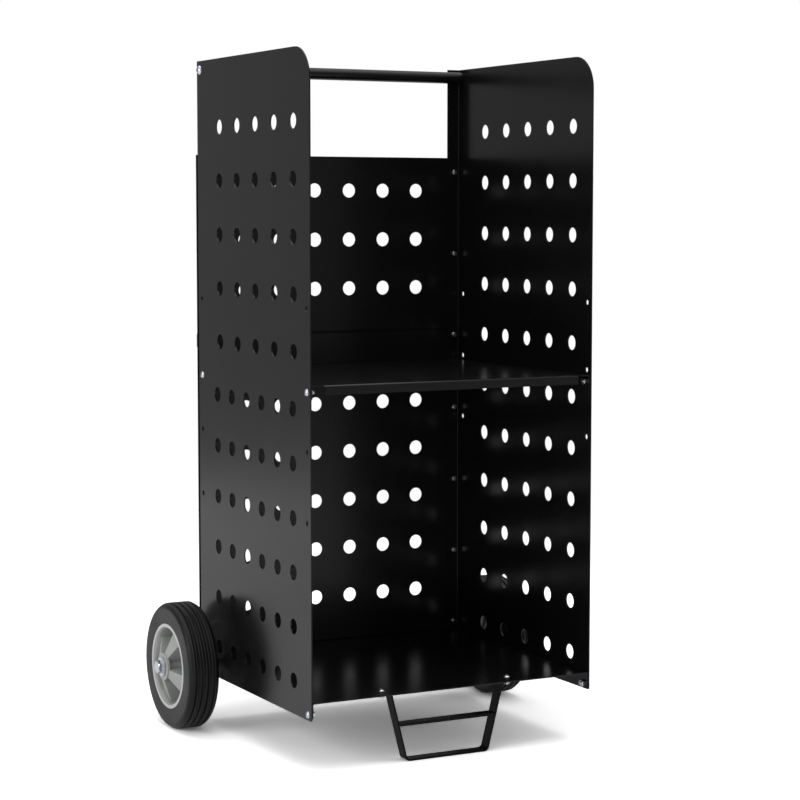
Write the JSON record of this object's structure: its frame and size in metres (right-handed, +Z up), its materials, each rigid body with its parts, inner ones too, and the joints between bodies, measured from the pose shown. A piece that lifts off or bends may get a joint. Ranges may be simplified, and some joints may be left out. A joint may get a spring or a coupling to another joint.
{
  "type": "log cart",
  "caption": "Upright two-wheeled firewood cart of perforated black sheet steel with a shelf, a tray, a round handle bar and a bent front foot.",
  "frame": {"origin": "on the floor, under the middle of the whole cart, wheels included", "axes": "+X to the right seen from the open front, +Y to the back, +Z up"},
  "size_m": [0.651, 0.486, 1.0525],
  "materials": {
    "powder_black": "satin black powder coat",
    "zinc": "bright zinc plate",
    "tyre": "matt black solid rubber",
    "rim": "light grey moulded plastic",
    "bush": "smooth off-white plain bearing plastic"
  },
  "bodies": {
    "chassis": {"left_side_panel": "powder_black", "right_side_panel": "powder_black", "upper_back_panel": "powder_black", "lower_back_panel": "powder_black", "middle_shelf": "powder_black", "bottom_tray": "powder_black", "handle_tube": "powder_black", "handle_end_plugs": "zinc", "handle_bolts": "zinc", "shelf_bolts": "zinc", "shelf_nuts": "zinc", "tray_bolts": "zinc", "tray_nuts": "zinc", "back_panel_bolts": "zinc", "back_panel_nuts": "zinc", "support_foot": "powder_black", "foot_crossbar": "powder_black", "foot_bolts": "zinc", "foot_nuts": "zinc", "axle_rod": "zinc", "axle_spacers": "zinc", "axle_washers": "zinc", "axle_cap_nuts": "zinc"},
    "left_wheel": {"left_tyre": "tyre", "left_wheel_rim": "rim", "left_hub_bush": "bush"},
    "right_wheel": {"right_tyre": "tyre", "right_wheel_rim": "rim", "right_hub_bush": "bush"}
  },
  "joints": [
    {"name": "left_wheel_spin", "type": "hinge", "parent": "chassis", "child": "left_wheel", "pos_m": [-0.285, 0.143, 0.1], "axis": [1, 0, 0], "continuous": true},
    {"name": "right_wheel_spin", "type": "hinge", "parent": "chassis", "child": "right_wheel", "pos_m": [0.285, 0.143, 0.1], "axis": [1, 0, 0], "continuous": true}
  ]
}
